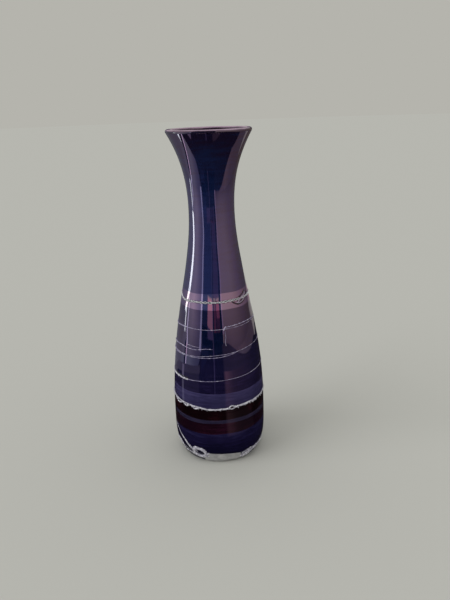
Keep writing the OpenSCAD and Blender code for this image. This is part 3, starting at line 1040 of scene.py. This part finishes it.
    def rope(self) -> None:
        """The white rope trail: thick, lumpy, frayed below, with an eye right of the front."""
        line = self.seams["upper_oxblood"]
        eye_deg = 15.0
        body = graded((0, 0.74), (2, 0.75), (12, 0.95), (12.6, 0.15), (17.4, 0.15), (18, 0.9),
                      (30, 0.8), (48, 0.62), (64, 0.5), (100, 0.8), (180, 1.0), (270, 0.85),
                      (294, 0.7), (300, 0.4), (326, 0.5), (340, 0.8), (352, 0.7), (360, 0.74))
        rod = Rod(2.1, 1.0, 0.24, 0.2, (14, 90), 61, sides=14)
        surfaces = [self.sweep(self.ring_path(line, 1800), rod, True, body)]
        # Strands that leave the rope and come back to it: each drops by the square of a sine.
        for start, end, drop, turns, seed in ((-68, -49, 2.6, 1, 68), (-51, -24, 2.0, 2, 74),
                                              (26, 54, 0.7, 2, 69), (95, 260, 1.4, 8, 71)):
            turn, share = np.radians(np.linspace(start, end, 500)), np.linspace(0, 1, 500)
            z = line(turn) - drop * MM * np.sin(np.pi * turns * share) ** 2
            surfaces.append(self.sweep(np.stack([turn, z], 1),
                                       Rod(1.15, 1.0, 0.3, 0.2, (5, 30), seed, sides=10), False))
        rng = np.random.default_rng(62)
        for _ in range(60):  # spurs below the rope
            start = rng.uniform(0, 360)
            reach, lean = rng.uniform(0.9, 2.2), rng.uniform(-1.2, 1.2)
            z = float(line(np.array(math.radians(start)))) / MM - 0.5
            knots = [(start + lean * share, z - reach * share) for share in (0, 0.5, 1)]
            spur = Rod(rng.uniform(0.5, 1.1), 0.5, 0.2, seed=70, fade_mm=0.8)
            surfaces.append(self.strand(knots, 14, spur))
        eye_z = float(line(np.array(math.radians(eye_deg)))) / MM + 0.4
        turns = np.linspace(0, FULL_TURN, 60, endpoint=False)
        eye = np.stack([np.radians(eye_deg + 2.9 * np.cos(turns)),
                        (eye_z + 1.45 * np.sin(turns)) * MM], 1)
        surfaces.append(self.sweep(eye, Rod(1.1, 1.1, 0.15, seed=63, sides=10), True))
        self.lay("white_rope", surfaces, Finish.WHITE, "rope_trail")
        # Painted shadow: a dark strip across the eye, the shade inside the loop.
        shadow_rod = Rod(2.1, 0.24, 0.05, seed=58, fade_mm=1.0, sides=10)
        across = [(eye_deg + shift, eye_z) for shift in (-2.6, 0.0, 2.6)]
        self.lay("rope_eye_painted_shadow", [self.strand(across, 24, shadow_rod)], Finish.BED)

    def foot_trail(self) -> None:
        """The white trail round the foot, and the strands where it begins and ends."""
        trail = [(27.5, 4.6), (31, 5.2), (38, 6.6), (47, 8.0), (57, 9.2), (66, 9.9), (78, 9.6),
                 (100, 8.0), (125, 7.9), (150, 7.2), (175, 7.8), (200, 7.3), (225, 8.2),
                 (250, 9.0), (270, 11.2), (283, 13.9), (292, 14.6), (298, 11.4), (303, 8.2),
                 (309, 7.2), (316, 7.2), (321, 5.9), (329, 4.8), (337, 4.9)]
        wide = graded((27, 0.9), (34, 1.2), (48, 0.9), (60, 0.62), (90, 0.65), (250, 0.6),
                      (278, 0.55), (292, 0.62), (300, 0.55), (308, 0.4), (318, 0.26),
                      (340, 0.3))
        rod = Rod(3.2, 0.95, 0.32, 0.25, (14, 80), 64, sides=14)
        loose = Rod(1.3, 0.8, 0.3, 0.2, (2, 9), 73, 1.0, sides=10)
        surfaces = [self.strand(trail, 1400, rod, wide)]
        surfaces += [self.strand(knots, 60, loose) for knots in (
            [(27.2, 3.4), (28.4, 6.4), (29.6, 8.8)], [(29, 8.6), (36, 9.9), (43, 11.0)],
            [(30, 3.2), (36, 3.9), (43, 5.4)], [(36, 9.4), (38, 7.0), (40, 5.0)],
            [(44, 10.8), (48, 9.6), (54, 10.6)])]
        self.lay("white_foot_trail", surfaces, Finish.WHITE, "foot_trail")

    def foot_curl(self) -> None:
        """The white loop on the skirt with its spurs, and the strand that climbs from it."""
        turns = np.linspace(0, FULL_TURN, 140, endpoint=False)
        loop = np.stack([np.radians(-30.0 + 9.0 * np.cos(turns) + 0.8 * np.cos(2 * turns + 1)),
                         (11.3 + 4.7 * np.sin(turns) - 0.27 * np.cos(turns)
                          + 0.4 * np.sin(3 * turns)) * MM], 1)
        rod = Rod(3.3, 1.1, 0.12, 0.1, (3, 12), 65, sides=14)
        surfaces = [self.sweep(loop, rod, True)]
        surfaces += [self.strand(knots, 24, Rod(width, 0.7, 0.2, seed=66, fade_mm=1.0))
                     for width, knots in ((1.3, [(-22, 11.0), (-18.5, 10.6), (-16, 12.2)]),
                                          (1.6, [(-23, 8.6), (-19, 7.4), (-16.5, 7.8)]),
                                          (1.5, [(-37, 9.0), (-40, 7.2), (-41.5, 5.6)]),
                                          (1.2, [(-36, 14.0), (-34, 11.8), (-32.5, 11.4)]))]
        self.lay("white_foot_curl", surfaces, Finish.WHITE, "foot_curl")
        climb = [(-39, 12.2), (-42, 13.8), (-46, 15.6), (-51, 19.0), (-57, 22.2), (-62, 24.6),
                 (-69, 28.0), (-77, 31.0)]
        thin = graded((-77, 0.2), (-62, 0.38), (-50, 0.85), (-39, 1.3))
        rod = Rod(1.9, 0.8, 0.15, seed=67, fade_mm=3.0, sides=10)
        self.lay("white_foot_strand", [self.strand(climb, 300, rod, thin)], Finish.WHITE,
                 "foot_strand")

    def build(self) -> None:
        """Makes every trail, from the silvered one down to the foot."""
        self.silver()
        self.pale_rings()
        self.clot()
        self.pale_laps()
        self.rope()
        self.foot_trail()
        self.foot_curl()


# ---- Studio ------------------------------------------------------------------


@dataclass
class Studio:
    """Pale floor, even pale surroundings, one soft key light, cards to mirror, and the camera.

    The cards and the narrow bright strips are seen by reflections only: they are the room
    that shows in the gloss. Edges are numbers, or functions of the azimuth in degrees.
    """

    shown: str = "#b5b4ad"
    fill: float = 0.68
    floor: str = "#c6c6c1"
    floor_r: float = 12.0
    # Radii of the circles that the cards follow, from near to far.
    card_r: float = 0.153
    front_r: float = 0.42
    far_side_r: float = 0.62
    side_r: float = 0.75
    far_r: float = 1.3
    # Heights at which upright cards start, and at which the sheets on the floor lie.
    foot_z: float = 1.0 * MM
    sheet_z: float = 0.6 * MM
    rosy_z: float = 1.2 * MM
    sill_z: float = 1.4 * MM
    key_energy: float = 0.8
    key_angle_deg: float = 40
    key_from: tuple[float, float, float] = (-1.7, -0.7, 1.4)
    lens_mm: float = 34.8
    camera_y: float = -0.5043
    camera_z: float = 0.3186
    pitch_yaw_roll_deg: tuple[float, float, float] = (18.69, 1.01, 1.99)
    night: str = "#05060c"

    def surroundings(self) -> None:
        """An even pale surround and a pale matt floor.

        Matt surfaces are lit by the plain fill. The eye, and gloss, see the pale wall colour.
        """
        world = bpy.data.worlds.new("pale_surround")
        bpy.context.scene.world = world
        tree = empty_tree(world)
        fill = add_node(tree, "ShaderNodeBackground",
                        {"Color": linear("#fffffb"), "Strength": self.fill})
        shown = add_node(tree, "ShaderNodeBackground", {"Color": linear(self.shown)})
        path = add_node(tree, "ShaderNodeLightPath")
        seen = path.outputs["Is Camera Ray"]
        for ray in ("Is Glossy Ray", "Is Transmission Ray"):
            seen = add_node(tree, "ShaderNodeMath", {"operation": "ADD", "use_clamp": True},
                            {0: seen, 1: path.outputs[ray]}).outputs[0]
        both = add_node(tree, "ShaderNodeMixShader", None,
                        {0: seen, 1: fill.outputs[0], 2: shown.outputs[0]})
        add_node(tree, "ShaderNodeOutputWorld", None, {"Surface": both.outputs[0]})

        # Matt paper: it has no gloss, so the vase stands on an even tone.
        paint = bpy.data.materials.new("pale_matt_paper")
        tree = empty_tree(paint)
        matt = add_node(tree, "ShaderNodeBsdfDiffuse", {"Color": linear(self.floor)})
        add_node(tree, "ShaderNodeOutputMaterial", None, {"Surface": matt.outputs[0]})
        turn = np.linspace(0, FULL_TURN, 96, endpoint=False)
        floor = new_object("paper_floor", around(self.floor_r, turn, 0.0), [list(range(96))])
        floor.data.materials.append(paint)

    @staticmethod
    def shades(tone: Tone, degrees: Array) -> Array:
        """The linear colour at each azimuth of one colour, or of a row of colours."""
        stops = [(0.0, tone)] if isinstance(tone, str) else list(tone)
        table = np.array([linear(shade) for _, shade in stops])
        places = [place for place, _ in stops]
        return np.stack([np.interp(degrees, places, table[:, k]) for k in range(4)], 1)

    def card(self, name: str, grid: Array, degrees: Array, tone: Tone,
             strength: float = 1.0, lower: Optional[Tone] = None) -> None:
        """A card that only reflections see: it gives the gloss a room to show.

        Args:
            name: The card's name.
            grid: Its points, (rows, columns, 3).
            degrees: The azimuth of each column.
            tone: Its colour, or colours at azimuths with a smooth change between them.
            strength: How many times as bright as that colour it is.
            lower: Its colour or colours at the first row, which change into `tone` at the last.
        """
        rows, columns = grid.shape[:2]
        share = np.linspace(0, 1, rows)[:, None, None]
        colours = (share * self.shades(tone, degrees)
                   + (1 - share) * self.shades(lower or tone, degrees))
        paint = bpy.data.materials.new(name)
        tree = empty_tree(paint)
        shade = add_node(tree, "ShaderNodeAttribute", {"attribute_name": "tone"})
        glow = add_node(tree, "ShaderNodeEmission", {"Strength": strength},
                        {"Color": shade.outputs["Color"]})
        add_node(tree, "ShaderNodeOutputMaterial", None, {"Surface": glow.outputs[0]})
        card = new_object(name, grid.reshape(-1, 3),
                          grid_faces(rows, columns, False, False).tolist())
        card.data.materials.append(paint)
        layer = card.data.color_attributes.new("tone", "FLOAT_COLOR", "POINT")
        layer.data.foreach_set("color", colours.ravel())
        card.visible_camera = card.visible_diffuse = card.visible_shadow = False
        card.visible_transmission = card.visible_volume_scatter = False

    def panel(self, name: str, span: tuple[float, float], start: tuple[Edge, Edge],
              end: tuple[Edge, Edge], tone: Tone, strength: float = 1.0,
              lower: Optional[Tone] = None) -> None:
        """A card stretched between two edges that run round the vase.

        Args:
            name: The card's name.
            span: Azimuths of its two ends, in degrees.
            start: Radius and height of its first edge.
            end: Radius and height of its last edge.
            tone: Its colour or colours.
            strength: How many times as bright as its colour it is.
            lower: Its colour or colours at its first edge, where they differ.
        """
        degrees = np.linspace(*span, max(2, round((span[1] - span[0]) / 2) + 1))
        share = np.linspace(0, 1, 8)[:, None]
        edges = [np.stack([edge(degrees) if callable(edge) else edge + 0 * degrees
                           for edge in pair]) for pair in (start, end)]
        r, z = (low + (high - low) * share for low, high in zip(*edges))
        self.card(name, around(r, np.radians(degrees), z), degrees, tone, strength, lower)

    def upright(self, name: str, span: tuple[float, float], low: Edge, high: Edge, tone: Tone,
                r: float, lower: Optional[Tone] = None) -> None:
        """A panel that stands on a circle round the vase, between two heights."""
        self.panel(name, span, (r, low), (r, high), tone, lower=lower)

    def flat(self, name: str, span: tuple[float, float], inner: Edge, outer: Edge, tone: Tone,
             z: float, strength: float = 1.0) -> None:
        """A panel that lies flat just above the floor, between two radii."""
        self.panel(name, span, (inner, z), (outer, z), tone, strength)

    def slanted(self, name: str, path: Sequence[tuple[float, float]], width: float,
                tone: Tone, r: float, strength: float) -> None:
        """A narrow upright strip that follows a slanting line on a circle round the vase.

        Args:
            name: The strip's name.
            path: Its middle line, as azimuths in degrees with heights in metres.
            width: Its width, in degrees.
            tone: Its colour.
            r: The circle's radius.
            strength: How many times as bright as that colour it is.
        """
        rows, knots = np.linspace(0, len(path) - 1, 24), np.arange(len(path))
        middle, z = (np.interp(rows, knots, values)[:, None] for values in zip(*path))
        turn = np.radians(middle + width * np.array([-0.5, 0.0, 0.5]))
        self.card(name, around(r, turn, z), np.zeros(3), tone, strength)

    def dark_front(self) -> None:
        """Tall dark cards before the vase, with two thin pale gaps and one open window.

        Through the window the gloss sees a few rosy cards that stand further away.
        """
        night, navy, foot = self.night, "#3a4870", self.foot_z
        wedge = graded((-26, 0.135), (-8, 0.105))
        near = ((-41.6, -24.2, foot, 0.07, "#232a44"), (-41.6, -24.2, 0.07, 0.13, night),
                (-41.6, -24.2, 0.13, 0.16, "#28344c"), (-41.6, -24.2, 0.16, 0.26, navy),
                (-24.2, -9.3, foot, 0.098, night), (-24.2, -9.3, 0.187, 0.26, navy),
                (-9.3, -7.9, foot, 0.26, "#7a769a"), (-7.9, -4.9, foot, 0.26, night),
                (-4.9, 12.7, foot, 0.12, night), (-4.9, 12.7, 0.187, 0.26, "#5a5074"),
                (1.0, 3.0, 0.12, 0.187, night), (12.7, 18.5, foot, 0.26, night),
                (18.5, 21.5, 0.11, 0.26, "#d9d2f0"), (-41.6, 18.5, 0.26, 0.9, night))
        far = ((-26, -8, foot, wedge, "#625c84"), (-26, -8, wedge, 0.235, "#e4b8c8"),
               (-8, 14, foot, 0.095, "#50425c"), (-8, 2, 0.095, 0.235, "#7c4a5c"),
               (2, 14, 0.095, 0.165, "#5c3442"), (2, 14, 0.165, 0.235, "#b06c82"))
        for group, r, cards in (("front", self.front_r, near), ("rose", self.far_r, far)):
            for k, (start, end, low, high, tone) in enumerate(cards):
                self.upright(f"{group}_card_{k}", (start, end), low, high, tone, r)

    def low_ring(self) -> None:
        """A low dark card all round, high at the right, with a rosy part there."""
        crest = graded((-180, 0.005), (-150, 0.012), (-132, 0.025), (-114, 0.041),
                       (-95, 0.047), (-78, 0.0515), (-60, 0.056), (-43, 0.061), (-8, 0.105),
                       (13, 0.108), (18, 0.111), (29, 0.1075), (37, 0.1015), (46, 0.0945),
                       (55, 0.0872), (63, 0.0832), (72, 0.080), (81, 0.0787), (90, 0.0787),
                       (99, 0.0807), (105, 0.0837), (112, 0.0855), (125, 0.0795),
                       (140, 0.075), (160, 0.05), (180, 0.03))
        tones = ((-180, "#1c1a1e"), (-100, "#26242c"), (-84, "#504e5c"), (-46, "#565462"),
                 (-42, "#18171e"), (12, "#14141c"), (15, "#4c444c"), (40, "#544c54"),
                 (70, "#443c42"), (95, "#2c2628"), (180, "#221e20"))
        rosy = ((12, "#4c4048"), (17, "#a8828c"), (26, "#8a6e76"), (34, "#6c5860"),
                (50, "#564850"), (76, "#40373e"))
        foot, r = self.foot_z, self.card_r
        self.upright("low_card", (-180, 180), foot, crest, tones, r)
        self.upright("low_haze", (-180, -42), crest, lambda degrees: crest(degrees) + 0.013,
                     "#6c6a74", r)
        self.upright("low_gleam", (-95, -88), foot, 0.06, "#b4b2c8", r - 2 * MM)
        self.upright("low_glint", (-9.4, -7.4), 0.03, 0.105, "#6a6690", r - 2 * MM)
        self.upright("rosy_card", (12, 76), foot, 0.068, rosy, r - 3 * MM)
        self.flat("rosy_sheet", (12, 76), 0.09, r - 5 * MM, rosy, self.rosy_z)

    def sides(self) -> None:
        """Pale cards further out at both sides, cooler at the left, and one dark behind."""
        foot, r = self.foot_z, self.side_r
        cool = ((-160, "#7c8084"), (-128, "#8a8e96"), (-108, "#98a0ae"), (-94, "#c0c8d8"),
                (-76, "#d0d8e8"), (-60, "#a8aec6"), (-50, "#8a90b0"), (-41.6, "#7a80a2"))
        self.upright("cool_card", (-160, -41.6), 0.11, 0.5, cool, r)
        self.upright("cool_card_foot", (-160, -41.6), foot, 0.11, cool, r, (
            (-160, "#6c7074"), (-108, "#848c98"), (-94, "#a4acba"), (-76, "#aab2c0"),
            (-60, "#8a90a6"), (-41.6, "#5e6484")))
        warm = ((21.5, "#c2bcbe"), (60, "#c0bab8"), (76, "#b4aca8"), (92, "#a89aa2"),
                (115, "#93857f"), (140, "#7e746c"), (160, "#6c645e"))
        self.upright("warm_card", (21.5, 160), 0.18, 0.5, warm, r)
        self.upright("warm_card_foot", (21.5, 160), foot, 0.18, warm, r, (
            (21.5, "#56494f"), (32, "#766a6e"), (44, "#8c8284"), (70, "#867c7e"),
            (90, "#746a6e"), (115, "#6c605a"), (160, "#564e48")))
        self.upright("back_card", (160, 200), foot, 0.5, "#1c1e30", r)
        # The dark sheet reaches far in front and ends near at the sides.
        edge = graded((-180, 0.20), (-134, 0.20), (-114, 0.26), (-95, 0.31), (-76, 0.33),
                      (-60, 0.36), (-55, 0.38), (-49, 0.50), (-43, 0.80), (-41, 1.30),
                      (-10, 1.30), (14, 1.30), (17, 1.20), (24, 0.94), (37, 0.78), (62, 0.54),
                      (76, 0.43), (86, 0.38), (100, 0.40), (180, 0.45))
        self.flat("dark_sheet", (-180, 180), 0.0445, edge, "#1e1a1c", self.sheet_z)
        self.flat("cool_sheet", (-170, -41.6), edge, r, (
            (-170, "#6c6e74"), (-134, "#80808c"), (-114, "#888a94"), (-104, "#98a0ae"),
            (-78, "#abb8c7"), (-62, "#8890a8"), (-41.6, "#646c8c")), self.sheet_z)
        self.flat("warm_sheet", (21, 130), edge, r, (
            (21, "#6c6268"), (34, "#8a7f82"), (70, "#988e8f"), (90, "#80767a"),
            (130, "#6c6266")), self.sheet_z)
        self.flat("sill_line", (-97.5, -92.2), 0.3, self.far_side_r, self.night, self.sill_z)
        self.flat("sill_gleam", (-92.0, -89.0), 0.3, self.far_side_r, "#e6e2fa", self.sill_z,
                  2.4)
        self.flat("sill_card", (-84, -60), 0.205, 0.262, "#9c98b4", self.sill_z)

    def lights(self) -> None:
        """A broad soft key from the left, and bright narrow strips that only gloss shows."""
        key = bpy.data.lights.new("key_light", "SUN")
        key.energy, key.angle = self.key_energy, math.radians(self.key_angle_deg)
        sun = bpy.data.objects.new("key_light", key)
        sun.visible_glossy = False
        sun.matrix_world = Vector(self.key_from).to_track_quat("Z", "Y").to_matrix().to_4x4()
        bpy.context.scene.collection.objects.link(sun)
        day = "#d4f7ee"
        for name, path, width, tone, r, strength in (
                ("window_light", ((-97.2, 0.17), (-97.4, 0.152), (-98.8, 0.14),
                                  (-100.2, 0.127), (-102.2, 0.108)),
                 7.5, day, self.side_r - 10 * MM, 8.0),
                ("window_foot", ((-103.6, 0.106), (-106.4, 0.08), (-106.6, 0.069),
                                 (-105.6, 0.05), (-104.3, 0.029), (-102.9, 0.001)),
                 3.4, day, self.side_r - 12 * MM, 5.0),
                ("window_corner", ((-98.8, 0.151), (-100.3, 0.143), (-103.4, 0.127),
                                   (-104.6, 0.121)), 6.5, day, 0.2, 6.0),
                ("window_frame", ((-103, 0.128), (-97.3, 0.108), (-94.6, 0.09),
                                  (-92.6, 0.042), (-89.6, 0.02), (-89.4, 0.001)),
                 3.2, "#cce0f4", self.far_side_r - 5 * MM, 3.0),
                ("side_light", ((-44.6, 0.24), (-44.6, 0.14), (-46.6, 0.07), (-47.6, 0.02)),
                 5.0, "#c4deff", self.far_side_r - 10 * MM, 1.5)):
            self.slanted(name, path, width, tone, r, strength)

    def camera(self) -> None:
        """The camera: above the lip, looking down, turned and rolled a little."""
        data = bpy.data.cameras.new("camera")
        data.sensor_fit, data.sensor_width, data.lens = "AUTO", 36.0, self.lens_mm
        data.clip_start, data.clip_end = 0.02, 40.0
        pitch, yaw, roll = (math.radians(angle) for angle in self.pitch_yaw_roll_deg)
        ahead = Vector((math.sin(yaw) * math.cos(pitch), math.cos(yaw) * math.cos(pitch),
                        -math.sin(pitch)))
        level = ahead.cross(Vector((0, 0, 1))).normalized()
        above = level.cross(ahead)
        right = level * math.cos(roll) - above * math.sin(roll)
        up = above * math.cos(roll) + level * math.sin(roll)
        camera = bpy.data.objects.new("camera", data)
        camera.matrix_world = Matrix((
            (right.x, up.x, -ahead.x, 0.0), (right.y, up.y, -ahead.y, self.camera_y),
            (right.z, up.z, -ahead.z, self.camera_z), (0, 0, 0, 1)))
        bpy.context.scene.collection.objects.link(camera)
        bpy.context.scene.camera = camera

    def build(self) -> None:
        """Sets up the floor, the surround, the light, the cards and the camera."""
        self.surroundings()
        self.lights()
        self.dark_front()
        self.low_ring()
        self.sides()
        self.camera()
        bpy.context.scene.view_settings.view_transform = "Standard"


def main() -> None:
    """Builds the vase and its studio."""
    logging.basicConfig(level=logging.INFO, format="%(name)s: %(message)s")
    outline = Outline.from_frame()
    vessel = Vessel(outline)
    vessel.build()
    Trails(outline, vessel.seams).build()
    Studio().build()


if __name__ == "__main__":
    main()
